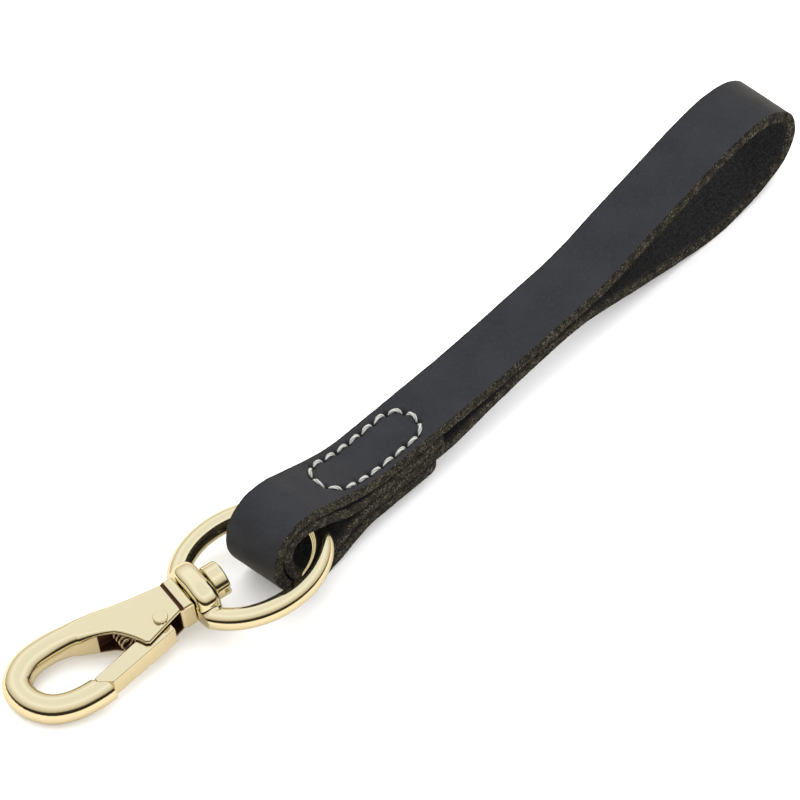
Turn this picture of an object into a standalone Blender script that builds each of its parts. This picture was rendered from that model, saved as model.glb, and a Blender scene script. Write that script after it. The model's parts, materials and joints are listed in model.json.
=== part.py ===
"""Wrist strap with a swivel snap hook: a folded, stitched leather loop on a metal hook.

The object lies on the plane z = 0, on its fold, its wrist loop and the crook of its hook, with
the origin in the middle of its footprint. +X runs along the strap towards the wrist loop, +Y
across it and +Z up. The strap is laid out in its own frame, whose origin is the middle of the
flat underside of the stitched stack. Lengths are in metres.
"""
import math

import bmesh
import bpy
import numpy as np

MM = 0.001

# Leather strap: one strip that is folded twice round the bow and stitched through four layers.
STRAP_WIDTH = 15.0 * MM
LEATHER = 2.8 * MM
LAYER_GAP = 0.4 * MM
LAYER_PITCH = LEATHER + LAYER_GAP
STACK_PITCH_ANGLE = math.radians(2.6)   # the stack leans forward when the strap lies on a table
STACK_BACK = 17.0 * MM                  # where the four layers end
INNER_END = 16.5 * MM                   # blunt end of the second layer
STACK_FRONT_LOW = -6.0 * MM             # where the two lower layers start to bend round the bow
STACK_FRONT_HIGH = 0.0
TOP_STRAIGHT_END = 29.0 * MM            # the top layer stays flat up to here
FLAP_CORNER = 5.0 * MM                  # corner radius of the flap under the stack
NEST_SLACK = 1.0 * MM                   # extra room between the two wraps behind the bow
NEST_SLACK_X = -12.5 * MM
NEST_SLACK_LENGTH = 5.0 * MM
WRAP_STEP = 2.0 * MM
LOOP_STEP = 3.5 * MM

# Stitching: a stadium of holes, with one thread on each face.
STITCH_CENTRE_X = -1.2 * MM
STITCH_LENGTH = 31.0 * MM
STITCH_WIDTH = 9.8 * MM
STITCH_COUNT = 18
STITCH_START = 0.5                      # first hole, in stitches from the front of the stadium
THREAD_RADIUS = 0.30 * MM
THREAD_LIFT = 0.45 * MM
THREAD_DIP = 0.30 * MM
STITCH_DIP_REACH = 0.80 * MM            # how far from a hole the thread begins to dip
HOLE_RADIUS = 1.05 * MM
HOLE_DEPTH = 1.1 * MM

# Hook frame: origin in the middle of the bow, x along the swivel towards the crook, z up. The bow
# rocks in the fold about a line across the strap.
BOW_CENTRE = (-36.4 * MM, 2.3 * MM, 5.2 * MM)
ROCK_AXIS_X = -21.0 * MM
ROCK_AXIS_Z = 7.1 * MM
HOOK_YAW = math.radians(164.5)
HOOK_DIP = math.radians(7.0)

# Bow: a rounded ring, cast in one piece with the barrel that the swivel pin runs through.
BOW_HALF_LENGTH = 16.9 * MM
BOW_HALF_WIDTH = 14.3 * MM
BOW_WIRE = 2.55 * MM
BOW_ROLL = math.radians(4.0)            # how far the bow is turned about the swivel from the hook
PIN_RISE = 1.5 * MM                     # the swivel axis lies this far above the bow's own plane
BARREL_FRONT = 11.0 * MM
BARREL_BACK = 16.6 * MM
BARREL_HALF_WIDTH = 6.8 * MM
BARREL_HALF_HEIGHT = 5.0 * MM
BARREL_SQUARENESS = 3.4
BARREL_ROUNDING = 2.2 * MM
FIT_GAP = 0.3 * MM

# Swivel pin
PIN_RADIUS = 2.2 * MM
PIN_HEAD_RADIUS = 3.8 * MM
PIN_HEAD_FRONT = 7.0 * MM
PIN_HEAD_ROUNDING = 0.5 * MM
PIN_SLOT_WIDTH = 1.1 * MM
PIN_SLOT_DEPTH = 1.0 * MM
PIN_END = 20.2 * MM

# Snap body
BODY_THICKNESS = 8.0 * MM
COLLAR_FRONT = 16.9 * MM
COLLAR_HALF_WIDTH = 4.7 * MM
GROOVE_FRONT = 19.6 * MM
GROOVE_WIDTH = 0.5 * MM
GROOVE_DEPTH = 0.5 * MM
BODY_ROUNDING = 0.7 * MM
CROOK_POINTS = [(x * MM, y * MM) for x, y in (
    (35.5, -3.9), (39.0, -5.1), (43.5, -6.6), (49.5, -7.45), (55.5, -6.3), (59.2, -2.9), (59.4, 2.0),
    (56.6, 6.7), (51.5, 9.1), (47.5, 9.5), (43.4, 9.3))]
CROOK_HALF_WIDTH = 3.4 * MM
CROOK_HALF_HEIGHT = 3.2 * MM
CROOK_ROUND_X = 50.0 * MM               # from here on the spine's section is a plain oval
SLOT_THICKNESS = 5.8 * MM
SLOT_FRONT = 20.6 * MM
SLOT_BACK = 38.5 * MM
SLOT_FLOOR = -3.0 * MM

# Gate, rivet and spring
GATE_THICKNESS = 5.2 * MM
GATE_ROUNDING = 0.5 * MM
RIVET_PLACE = (25.1 * MM, 3.8 * MM)
RIVET_RADIUS = 1.2 * MM
RIVET_HEAD_RADIUS = 1.75 * MM
RIVET_HEAD_HEIGHT = 0.7 * MM
RIVET_HEAD_GAP = 0.15 * MM
SPRING_X = 33.2 * MM
SPRING_RADIUS = 1.6 * MM
SPRING_WIRE = 0.28 * MM
SPRING_TURNS = 5
SPRING_START = SLOT_FLOOR + FIT_GAP + SPRING_WIRE
SPRING_END = 3.2 * MM

CYLINDER_SIDES = 28


# ---------------------------------------------------------------- general tools

def clear_scene():
    for item in list(bpy.data.objects):
        bpy.data.objects.remove(item, do_unlink=True)


def material(name, colour, roughness, metallic):
    made = bpy.data.materials.new(name)
    made.use_nodes = True
    shader = made.node_tree.nodes["Principled BSDF"]
    shader.inputs["Base Color"].default_value = (*colour, 1.0)
    shader.inputs["Roughness"].default_value = roughness
    shader.inputs["Metallic"].default_value = metallic
    made.diffuse_color = (*colour, 1.0)
    return made


def add_object(name, mesh, parent=None, location=(0, 0, 0), rotation=(0, 0, 0)):
    made = bpy.data.objects.new(name, mesh)
    bpy.context.scene.collection.objects.link(made)
    made.parent = parent
    made.location = location
    made.rotation_euler = rotation
    return made


def add_empty(name, location, rotation=(0, 0, 0), parent=None):
    return add_object(name, None, parent, location, rotation)


def rest_on_table(root):
    """Shift everything so that it lies on z = 0 with the origin in the middle of its footprint."""
    corners = []
    settled = bpy.context.evaluated_depsgraph_get()
    for item in bpy.data.objects:
        if item.type == "MESH" and not item.hide_render:
            ready = item.evaluated_get(settled)
            corners += [ready.matrix_world @ vertex.co for vertex in ready.data.vertices]
    corners = np.array(corners)
    low = corners.min(axis=0)
    high = corners.max(axis=0)
    root.location = (-(low[0] + high[0]) / 2, -(low[1] + high[1]) / 2, -low[2])


def finish(item, finish_material, smooth_angle=35.0):
    item.data.materials.append(finish_material)
    item.data.shade_smooth()
    item.data.set_sharp_from_angle(angle=math.radians(smooth_angle))


def mesh_from_rings(name, rings, closed):
    """Skin a row of equal rings of points; a closed row joins its end to its start."""
    shape = bmesh.new()
    grid = [[shape.verts.new(point) for point in ring] for ring in rings]
    sides = len(grid[0])
    pairs = list(zip(grid, grid[1:]))
    if closed:
        pairs.append((grid[-1], grid[0]))
    for ring, following in pairs:
        for i in range(sides):
            j = (i + 1) % sides
            shape.faces.new((ring[i], ring[j], following[j], following[i]))
    if not closed:
        shape.faces.new(list(reversed(grid[0])))
        shape.faces.new(grid[-1])
    bmesh.ops.recalc_face_normals(shape, faces=shape.faces)
    mesh = bpy.data.meshes.new(name)
    shape.to_mesh(mesh)
    shape.free()
    return mesh


def block_outline(x_low, x_high, y_low, y_high):
    return [(x_low, y_low), (x_high, y_low), (x_high, y_high), (x_low, y_high)]


def plate_mesh(name, outline, bottom, top):
    """A flat plate with the given outline (x, y), from height bottom to height top."""
    rings = [[(x, y, height) for x, y in outline] for height in (bottom, top)]
    return mesh_from_rings(name, rings, closed=False)


def turned_mesh(name, profile):
    """A solid turned about the x axis; profile holds (x, radius)."""
    rings = []
    for x, radius in profile:
        turn = [2 * math.pi * i / CYLINDER_SIDES for i in range(CYLINDER_SIDES)]
        rings.append([(x, radius * math.cos(a), radius * math.sin(a)) for a in turn])
    return mesh_from_rings(name, rings, closed=False)


def upright_mesh(name, profile):
    """A solid turned about the z axis; profile holds (radius, z), bottom to top."""
    rings = []
    for radius, z in profile:
        turn = [2 * math.pi * i / CYLINDER_SIDES for i in range(CYLINDER_SIDES)]
        rings.append([(radius * math.cos(a), radius * math.sin(a), z) for a in turn])
    return mesh_from_rings(name, rings, closed=False)


def modify_with(target, helper, operation, solver="EXACT"):
    """Boolean the target with a hidden helper object."""
    helper.hide_render = True
    helper.display_type = "WIRE"
    step = target.modifiers.new(helper.name, "BOOLEAN")
    step.operation = operation
    step.solver = solver
    step.object = helper


def round_edges(target, width, angle=40.0):
    step = target.modifiers.new("rounding", "BEVEL")
    step.width = width
    step.segments = 2
    step.limit_method = "ANGLE"
    step.angle_limit = math.radians(angle)


# ---------------------------------------------------------------- curves in a plane

def smooth_path(points, start_way, end_way, step):
    """A cubic curve through the points, with set directions at both ends."""
    points = np.array(points, float)
    gaps = np.linalg.norm(np.diff(points, axis=0), axis=1)
    slopes = np.diff(points, axis=0) / gaps[:, None]
    ways = np.empty_like(points)
    ways[0] = start_way
    ways[-1] = end_way
    weight = (gaps[1:] / (gaps[:-1] + gaps[1:]))[:, None]
    ways[1:-1] = slopes[:-1] * weight + slopes[1:] * (1 - weight)
    path = []
    for i, gap in enumerate(gaps):
        count = max(2, math.ceil(gap / step))
        for k in range(count):
            u = k / count
            path.append((2 * u**3 - 3 * u**2 + 1) * points[i]
                        + (u**3 - 2 * u**2 + u) * gap * ways[i]
                        + (3 * u**2 - 2 * u**3) * points[i + 1]
                        + (u**3 - u**2) * gap * ways[i + 1])
    path.append(points[-1])
    return np.array(path)


def path_normals(path):
    """Unit normals to the right of travel, in the plane of the path."""
    along = np.gradient(path, axis=0)
    along /= np.linalg.norm(along, axis=1)[:, None]
    return np.stack([along[:, 1], -along[:, 0]], axis=1)


# ---------------------------------------------------------------- leather strap

def wrap_path():
    """Middle of the outer wrap, from the flap round the front of the fold to the top layer."""
    low = LEATHER / 2
    high = low + 3 * LAYER_PITCH
    shape = [(-12.0, 0.1), (-18.0, -2.2), (-24.5, -3.5), (-31.0, -1.7), (-35.4, 3.2), (-37.6, 9.5),
             (-36.4, 14.6), (-32.6, 17.6), (-27.5, 17.8), (-21.0, 15.9), (-13.5, 13.4), (-6.0, 11.5)]
    points = [(STACK_FRONT_LOW, low)] + [(x * MM, z * MM) for x, z in shape]
    points.append((STACK_FRONT_HIGH, high))
    return smooth_path(points, (-1, 0), (1, 0), WRAP_STEP)


def loop_path():
    """Middle of the wrist loop, out along the top and back along the underside."""
    high = LEATHER / 2 + 3 * LAYER_PITCH
    low = LEATHER / 2 + LAYER_PITCH
    shape = [(40.0, 11.5), (54.0, 12.5), (70.0, 13.9), (84.0, 17.6), (98.0, 21.1), (110.0, 24.1),
             (119.5, 25.2), (127.0, 23.6), (131.2, 19.8), (132.2, 14.4), (129.4, 9.2), (123.5, 5.8),
             (116.0, 3.5), (107.0, 2.4), (96.0, 3.6), (80.0, 6.4), (62.0, 9.4), (47.0, 8.6),
             (32.0, 6.7)]
    points = [(TOP_STRAIGHT_END, high)] + [(x * MM, z * MM) for x, z in shape] + [(STACK_BACK, low)]
    return smooth_path(points, (1, 0), (-1, 0), LOOP_STEP)


def inner_wrap_path(outer):
    """The second wrap lies inside the first, with some slack just behind the bow."""
    slack = NEST_SLACK * np.exp(-(((outer[:, 0] - NEST_SLACK_X) / NEST_SLACK_LENGTH) ** 2))
    return outer + path_normals(outer) * (LAYER_PITCH + slack)[:, None]


def flap_points():
    """Points along the flap, close together at its rounded end."""
    turns = [0.0, 0.25, 0.5, 0.75, 1.0]
    back = [STACK_BACK - FLAP_CORNER * (1 - math.cos(t * math.pi / 2)) for t in turns]
    back.append(STACK_FRONT_LOW)
    return np.array([(x, LEATHER / 2) for x in back])


def strap_path():
    """Middle of the whole strip, from the end of the flap to the end of the second layer."""
    outer = wrap_path()
    top = [(STACK_BACK, LEATHER / 2 + 3 * LAYER_PITCH)]
    inner_end = [(INNER_END, LEATHER / 2 + 2 * LAYER_PITCH)]
    return np.vstack([flap_points()[:-1], outer, top, loop_path(), inner_wrap_path(outer), inner_end])


def strap_half_width(x_from_end):
    """Half the width of the strip near the rounded end of the flap."""
    if x_from_end >= FLAP_CORNER:
        return STRAP_WIDTH / 2
    rise = FLAP_CORNER**2 - (FLAP_CORNER - x_from_end) ** 2
    return STRAP_WIDTH / 2 - FLAP_CORNER + math.sqrt(max(rise, 0.0))


def strap_mesh():
    path = strap_path()
    normals = path_normals(path)
    lengths = np.concatenate([[0.0], np.cumsum(np.linalg.norm(np.diff(path, axis=0), axis=1))])
    rings = []
    for point, normal, length in zip(path, normals, lengths):
        half = strap_half_width(length)
        inside = point + normal * LEATHER / 2
        outside = point - normal * LEATHER / 2
        rings.append([(inside[0], -half, inside[1]), (inside[0], half, inside[1]),
                      (outside[0], half, outside[1]), (outside[0], -half, outside[1])])
    return mesh_from_rings("strap", rings, closed=False)


# ---------------------------------------------------------------- stitching

def stadium_point(distance):
    """Point (x, y) at a distance along the stitched stadium, from the middle of its front end."""
    radius = STITCH_WIDTH / 2
    straight = STITCH_LENGTH - STITCH_WIDTH
    arc = math.pi * radius
    perimeter = 2 * straight + 2 * arc
    along = distance % perimeter
    if along >= perimeter - arc / 2:
        along -= perimeter
    if along < arc / 2:
        turn = along / radius
        return (STITCH_CENTRE_X - straight / 2 - radius * math.cos(turn), -radius * math.sin(turn))
    if along < arc / 2 + straight:
        return (STITCH_CENTRE_X - straight / 2 + along - arc / 2, -radius)
    if along < 1.5 * arc + straight:
        turn = (along - arc / 2 - straight) / radius
        return (STITCH_CENTRE_X + straight / 2 + radius * math.sin(turn), -radius * math.cos(turn))
    return (STITCH_CENTRE_X + straight / 2 - (along - 1.5 * arc - straight), radius)


def stitch_pitch():
    straight = STITCH_LENGTH - STITCH_WIDTH
    return (2 * straight + math.pi * STITCH_WIDTH) / STITCH_COUNT


def stack_surface(upper):
    """Heights of the stack's top or underside, as a function of x."""
    outer = wrap_path()
    surface = outer - path_normals(outer) * LEATHER / 2
    front = int(np.argmin(surface[:, 0]))
    if upper:
        half = np.vstack([surface[front:], [(STACK_BACK, LEATHER + 3 * LAYER_PITCH)]])
    else:
        half = np.vstack([surface[front::-1], [(STACK_BACK, 0.0)]])
    return lambda x: float(np.interp(x, half[:, 0], half[:, 1]))


def thread_mesh(name, upper):
    """One thread: a closed loop that arches over the leather and dips at each hole."""
    surface = stack_surface(upper)
    side = 1 if upper else -1
    pitch = stitch_pitch()
    stations = [reach * STITCH_DIP_REACH for reach in (-1, -0.5, 0, 0.5, 1)] + [pitch / 2]
    path = []
    for hole in range(STITCH_COUNT):
        for offset in stations:
            x, y = stadium_point((hole + STITCH_START) * pitch + offset)
            depth = max(0.0, 1 - (offset / STITCH_DIP_REACH) ** 2)
            lift = THREAD_LIFT - (THREAD_LIFT + THREAD_DIP) * depth
            path.append((x, y, surface(x) + side * lift))
    return tube_mesh(name, np.array(path), THREAD_RADIUS, 6)


def tube_mesh(name, path, radius, sides, closed=True):
    """A round tube along a path in space."""
    if closed:
        along = np.roll(path, -1, axis=0) - np.roll(path, 1, axis=0)
    else:
        along = np.gradient(path, axis=0)
    rings = []
    for point, way in zip(path, along):
        way = way / np.linalg.norm(way)
        across = np.cross(way, (0.0, 0.0, 1.0))
        across /= np.linalg.norm(across)
        upward = np.cross(across, way)
        turn = [2 * math.pi * i / sides for i in range(sides)]
        spokes = [math.cos(a) * across + math.sin(a) * upward for a in turn]
        rings.append([tuple(point + radius * spoke) for spoke in spokes])
    return mesh_from_rings(name, rings, closed)


def hole_cutter(name, upper):
    """All the stitch holes of one face, as one mesh of separate pegs."""
    surface = stack_surface(upper)
    side = 1 if upper else -1
    shape = bmesh.new()
    for hole in range(STITCH_COUNT):
        x, y = stadium_point((hole + STITCH_START) * stitch_pitch())
        peg = bmesh.ops.create_cone(shape, cap_ends=True, segments=10, radius1=HOLE_RADIUS,
                                    radius2=HOLE_RADIUS, depth=2 * HOLE_DEPTH)
        bmesh.ops.translate(shape, verts=peg["verts"], vec=(x, y, surface(x)))
    mesh = bpy.data.meshes.new(name)
    shape.to_mesh(mesh)
    shape.free()
    return mesh


# ---------------------------------------------------------------- bow with its barrel

def bow_wire_mesh():
    """An oval ring of round wire, PIN_RISE below the swivel axis."""
    count = 56
    sides = 12
    rings = []
    for i in range(count):
        angle = 2 * math.pi * i / count
        middle = np.array([BOW_HALF_LENGTH * math.cos(angle), BOW_HALF_WIDTH * math.sin(angle)])
        outward = np.array([BOW_HALF_WIDTH * math.cos(angle), BOW_HALF_LENGTH * math.sin(angle)])
        outward /= np.linalg.norm(outward)
        ring = []
        for k in range(sides):
            turn = 2 * math.pi * k / sides
            x, y = middle + outward * BOW_WIRE * math.cos(turn)
            ring.append((x, y, BOW_WIRE * math.sin(turn) - PIN_RISE))
        rings.append(ring)
    return mesh_from_rings("bow_wire", rings, closed=True)


def rounded_profile(start, end, radius, rounding):
    """Profile (x, radius) of a turned drum with rounded ends."""
    steps = 3
    turns = [i / steps * math.pi / 2 for i in range(steps + 1)]
    front = [(start + rounding * (1 - math.sin(a)), radius - rounding * (1 - math.cos(a)))
             for a in reversed(turns)]
    back = [(end - rounding * (1 - math.sin(a)), radius - rounding * (1 - math.cos(a))) for a in turns]
    return front + back


def build_bow(frame, metal):
    swivel = add_empty("bow_frame", (0, 0, PIN_RISE), (BOW_ROLL, 0, 0), frame)
    bow = add_object("bow_ring", bow_wire_mesh(), swivel)
    modify_with(bow, add_object("barrel_helper", barrel_mesh(), swivel), "UNION")
    running = PIN_RADIUS + FIT_GAP
    bore = [(BARREL_FRONT - FIT_GAP, running), (BARREL_BACK + FIT_GAP, running)]
    modify_with(bow, add_object("barrel_bore_cutter", turned_mesh("bore", bore), swivel), "DIFFERENCE")
    front = [(PIN_HEAD_FRONT - 3 * MM, PIN_HEAD_RADIUS), (BARREL_FRONT, PIN_HEAD_RADIUS)]
    modify_with(bow, add_object("barrel_front_cutter", turned_mesh("front", front), swivel), "DIFFERENCE")
    modify_with(bow, add_object("barrel_end_cutter", barrel_end_mesh(), swivel), "DIFFERENCE")
    finish(bow, metal)


def barrel_mesh():
    """A drum along x with rounded ends, wider than it is high and rather square."""
    power = 2 / BARREL_SQUARENESS
    rings = []
    for x, inset in rounded_profile(BARREL_FRONT, BARREL_BACK, 0.0, BARREL_ROUNDING):
        ring = []
        for i in range(CYLINDER_SIDES):
            turn = 2 * math.pi * i / CYLINDER_SIDES
            y = math.copysign(abs(math.cos(turn)) ** power, math.cos(turn))
            z = math.copysign(abs(math.sin(turn)) ** power, math.sin(turn))
            ring.append((x, (BARREL_HALF_WIDTH + inset) * y, (BARREL_HALF_HEIGHT + inset) * z))
        rings.append(ring)
    return mesh_from_rings("barrel", rings, closed=False)


def barrel_end_mesh():
    """Trims the bow's wire flush with the barrel where it faces the collar."""
    reach = BARREL_HALF_WIDTH + BOW_WIRE
    outline = block_outline(BARREL_BACK, BARREL_BACK + 6 * MM, -reach, reach)
    return plate_mesh("barrel_end", outline, -BARREL_HALF_HEIGHT - PIN_RISE, BARREL_HALF_HEIGHT)


# ---------------------------------------------------------------- swivel pin

def build_pin(frame, metal):
    head = rounded_profile(PIN_HEAD_FRONT, BARREL_FRONT - FIT_GAP, PIN_HEAD_RADIUS, PIN_HEAD_ROUNDING)
    profile = head + [(BARREL_FRONT - FIT_GAP, PIN_RADIUS), (PIN_END, PIN_RADIUS)]
    pin = add_object("swivel_pin", turned_mesh("swivel_pin", profile), frame, (0, 0, PIN_RISE))
    reach = PIN_HEAD_RADIUS + 1 * MM
    outline = block_outline(PIN_HEAD_FRONT - 1 * MM, PIN_HEAD_FRONT + PIN_SLOT_DEPTH, -reach, reach)
    slot_mesh = plate_mesh("pin_slot", outline, -PIN_SLOT_WIDTH / 2, PIN_SLOT_WIDTH / 2)
    slot = add_object("pin_slot_cutter", slot_mesh, frame, (0, 0, PIN_RISE))
    modify_with(pin, slot, "DIFFERENCE")
    finish(pin, metal)


# ---------------------------------------------------------------- snap body

def body_outline():
    """Outline of the flat part of the body: neck, two cheeks and the root of the spine."""
    neck = [(GROOVE_FRONT, COLLAR_HALF_WIDTH), (20.4 * MM, 4.5 * MM), (30.4 * MM, 7.6 * MM)]
    opening = smooth_path([(31.3 * MM, 7.0 * MM), (33.2 * MM, 3.1 * MM), (35.3 * MM, 0.3 * MM),
                           (38.2 * MM, -1.3 * MM), (42.5 * MM, -2.7 * MM)],
                          (0.35, -0.94), (0.97, -0.25), 1.2 * MM)
    spine = [(43.9 * MM, -4.8 * MM), (43.1 * MM, -8.6 * MM), (36.0 * MM, -7.35 * MM),
             (31.0 * MM, -6.3 * MM), (27.0 * MM, -5.5 * MM), (20.4 * MM, -4.4 * MM),
             (GROOVE_FRONT, -COLLAR_HALF_WIDTH)]
    return neck + [tuple(point) for point in opening] + spine


def crook_path():
    """Middle of the crook, from the spine round the end to the nose."""
    return smooth_path(CROOK_POINTS, (0.95, -0.31), (-0.98, -0.17), 2.0 * MM)


def crook_mesh():
    """The round part of the body; it is as tall as the cheeks where it leaves them."""
    path = crook_path()
    normals = path_normals(path)
    sides = 14
    rings = []
    for point, normal in zip(path, normals):
        blend = (CROOK_ROUND_X - point[0]) / (CROOK_ROUND_X - path[0][0])
        swell = min(max(blend, 0.0), 1.0) if point[1] < 0 else 0.0
        tall = CROOK_HALF_HEIGHT + (BODY_THICKNESS / 2 - 0.1 * MM - CROOK_HALF_HEIGHT) * swell
        power = 1.0 - 0.45 * swell
        ring = []
        for k in range(sides):
            turn = 2 * math.pi * k / sides
            c = math.copysign(abs(math.cos(turn)) ** power, math.cos(turn))
            s = math.copysign(abs(math.sin(turn)) ** power, math.sin(turn))
            out = normal * CROOK_HALF_WIDTH * c
            ring.append((point[0] + out[0], point[1] + out[1], tall * s))
        rings.append(ring)
    return mesh_from_rings("crook", rings, closed=False)


def gate_outline():
    """Outline of the gate, from its tail along the outer edge to the nose and back."""
    outer = [(22.4, 7.0), (42.2, 10.9)]
    nose = [(45.1, 8.6), (45.1, 7.4)]
    inner = [(36.0, 5.4), (31.0, 4.2), (27.0, 1.4), (22.4, 1.0)]
    return [(x * MM, y * MM) for x, y in outer + nose + inner]


def grown_outline(outline, gap):
    """The outline moved outward by a gap; the outline runs anticlockwise or clockwise."""
    points = np.array(outline)
    middle = points.mean(axis=0)
    grown = []
    for i, point in enumerate(points):
        before = point - points[i - 1]
        after = points[(i + 1) % len(points)] - point
        normals = []
        for way in (before, after):
            normal = np.array([way[1], -way[0]]) / np.linalg.norm(way)
            normals.append(normal)
        corner = normals[0] + normals[1]
        corner /= max(np.dot(corner, normals[0]), 0.3)
        grown.append(point + corner * gap)
    if np.linalg.norm(grown[0] - middle) < np.linalg.norm(points[0] - middle):
        return grown_outline(outline, -gap)
    return [tuple(point) for point in grown]


def add_collar(body, frame, place):
    """The square end of the body next to the barrel, set off by a groove on both faces."""
    half = BODY_THICKNESS / 2
    shape = block_outline(COLLAR_FRONT, GROOVE_FRONT + 0.2 * MM, -COLLAR_HALF_WIDTH, COLLAR_HALF_WIDTH)
    collar = add_object("collar_helper", plate_mesh("collar", shape, -half, half), frame, place)
    round_edges(collar, BODY_ROUNDING)
    modify_with(body, collar, "UNION")
    groove = block_outline(GROOVE_FRONT, GROOVE_FRONT + GROOVE_WIDTH, -8 * MM, 8 * MM)
    for name, sign in (("groove_top_cutter", 1), ("groove_bottom_cutter", -1)):
        low, high = sorted((sign * (half - GROOVE_DEPTH), sign * (half + 1 * MM)))
        cutter = add_object(name, plate_mesh(name, groove, low, high), frame, place)
        modify_with(body, cutter, "DIFFERENCE")


def cut_gate_slot(body, frame, place):
    half = SLOT_THICKNESS / 2
    slot = block_outline(SLOT_FRONT, SLOT_BACK, SLOT_FLOOR, 14 * MM)
    cutter = add_object("gate_slot_cutter", plate_mesh("gate_slot", slot, -half, half), frame, place)
    modify_with(body, cutter, "DIFFERENCE")


def cut_nose_lap(body, frame, place):
    """The nose stops short of the closed gate by one gap and leaves its tip room to swing in."""
    half = BODY_THICKNESS / 2
    lap_mesh = plate_mesh("nose_lap", grown_outline(gate_outline(), FIT_GAP), -half, half)
    cutter = add_object("nose_lap_cutter", lap_mesh, frame, place)
    near_nose = block_outline(38.0 * MM, 52.0 * MM, 5.0 * MM, 16.0 * MM)
    limit_mesh = plate_mesh("nose_lap_limit", near_nose, -half, half)
    modify_with(cutter, add_object("nose_lap_limit", limit_mesh, frame, place), "INTERSECT")
    modify_with(body, cutter, "DIFFERENCE")
    pivot_x, pivot_y = RIVET_PLACE
    reach = max(math.hypot(x - pivot_x, y - pivot_y) for x, y in gate_outline()) + FIT_GAP
    swing = block_outline(38.0 * MM, pivot_x + reach, 4.0 * MM, 7.8 * MM)
    swing_cutter = add_object("gate_swing_cutter", plate_mesh("gate_swing", swing, -half, half), frame, place)
    modify_with(body, swing_cutter, "DIFFERENCE")


def cut_body_bores(body, frame, place):
    bore = [(COLLAR_FRONT - 1 * MM, PIN_RADIUS + 0.2 * MM), (SLOT_FRONT + 1 * MM, PIN_RADIUS + 0.2 * MM)]
    cutter = add_object("pin_bore_cutter", turned_mesh("pin_bore", bore), frame, place)
    modify_with(body, cutter, "DIFFERENCE")
    radius = RIVET_RADIUS + FIT_GAP
    hole = upright_mesh("rivet_hole", [(radius, -BODY_THICKNESS), (radius, BODY_THICKNESS)])
    cutter = add_object("rivet_hole_cutter", hole, frame, (RIVET_PLACE[0], RIVET_PLACE[1], PIN_RISE))
    modify_with(body, cutter, "DIFFERENCE")


def build_body(frame, metal):
    half = BODY_THICKNESS / 2
    place = (0, 0, PIN_RISE)
    body = add_object("snap_body", plate_mesh("snap_body", body_outline(), -half, half), frame, place)
    round_edges(body, BODY_ROUNDING)
    modify_with(body, add_object("crook_helper", crook_mesh(), frame, place), "UNION")
    add_collar(body, frame, place)
    cut_gate_slot(body, frame, place)
    cut_nose_lap(body, frame, place)
    cut_body_bores(body, frame, place)
    finish(body, metal)


# ---------------------------------------------------------------- gate, rivet and spring

def build_gate(frame, metal):
    half = GATE_THICKNESS / 2
    place = (RIVET_PLACE[0], RIVET_PLACE[1], PIN_RISE)
    outline = [(x - RIVET_PLACE[0], y - RIVET_PLACE[1]) for x, y in gate_outline()]
    gate = add_object("gate", plate_mesh("gate", outline, -half, half), frame, place)
    round_edges(gate, GATE_ROUNDING)
    radius = RIVET_RADIUS + FIT_GAP
    hole = upright_mesh("gate_bore", [(radius, -BODY_THICKNESS), (radius, BODY_THICKNESS)])
    modify_with(gate, add_object("gate_bore_cutter", hole, frame, place), "DIFFERENCE")
    finish(gate, metal)


def build_rivet(frame, metal):
    seat = BODY_THICKNESS / 2 + RIVET_HEAD_GAP
    steps = 3
    dome = []
    for i in range(steps + 1):
        turn = i / steps * math.radians(75)
        dome.append((RIVET_HEAD_RADIUS * math.cos(turn), seat + RIVET_HEAD_HEIGHT * math.sin(turn)))
    upper = [(RIVET_RADIUS, seat)] + dome
    lower = [(radius, -z) for radius, z in reversed(upper)]
    place = (RIVET_PLACE[0], RIVET_PLACE[1], PIN_RISE)
    rivet = add_object("gate_rivet", upright_mesh("gate_rivet", lower + upper), frame, place)
    finish(rivet, metal)


def build_spring(frame, metal):
    per_turn = 12
    path = []
    for i in range(SPRING_TURNS * per_turn + 1):
        turn = 2 * math.pi * i / per_turn
        along = SPRING_START + (SPRING_END - SPRING_START) * i / (SPRING_TURNS * per_turn)
        path.append((SPRING_X + SPRING_RADIUS * math.cos(turn), along, SPRING_RADIUS * math.sin(turn)))
    path = np.array(path)
    ways = np.gradient(path, axis=0)
    rings = []
    for point, way in zip(path, ways):
        way = way / np.linalg.norm(way)
        out = np.array([point[0] - SPRING_X, 0.0, point[2]]) / SPRING_RADIUS
        side = np.cross(way, out)
        side /= np.linalg.norm(side)
        turn = [2 * math.pi * k / 5 for k in range(5)]
        spokes = [math.cos(a) * out + math.sin(a) * side for a in turn]
        rings.append([tuple(point + SPRING_WIRE * spoke) for spoke in spokes])
    mesh = mesh_from_rings("gate_spring", rings, closed=False)
    spring = add_object("gate_spring", mesh, frame, (0, 0, PIN_RISE))
    finish(spring, metal)


# ---------------------------------------------------------------- assembly

def build_strap(root):
    leather = material("charcoal_leather", (0.025, 0.026, 0.032), 0.6, 0.0)
    thread = material("pale_thread", (0.75, 0.74, 0.70), 0.7, 0.0)
    frame = add_empty("strap_frame", (0, 0, 0), (0, STACK_PITCH_ANGLE, 0), root)
    strap = add_object("strap", strap_mesh(), frame)
    for name, upper in (("top_thread", True), ("bobbin_thread", False)):
        pegs = add_object(name + "_hole_cutter", hole_cutter(name, upper), frame)
        modify_with(strap, pegs, "DIFFERENCE", "MANIFOLD")
        finish(add_object(name, thread_mesh(name, upper), frame), thread)
    finish(strap, leather)


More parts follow.
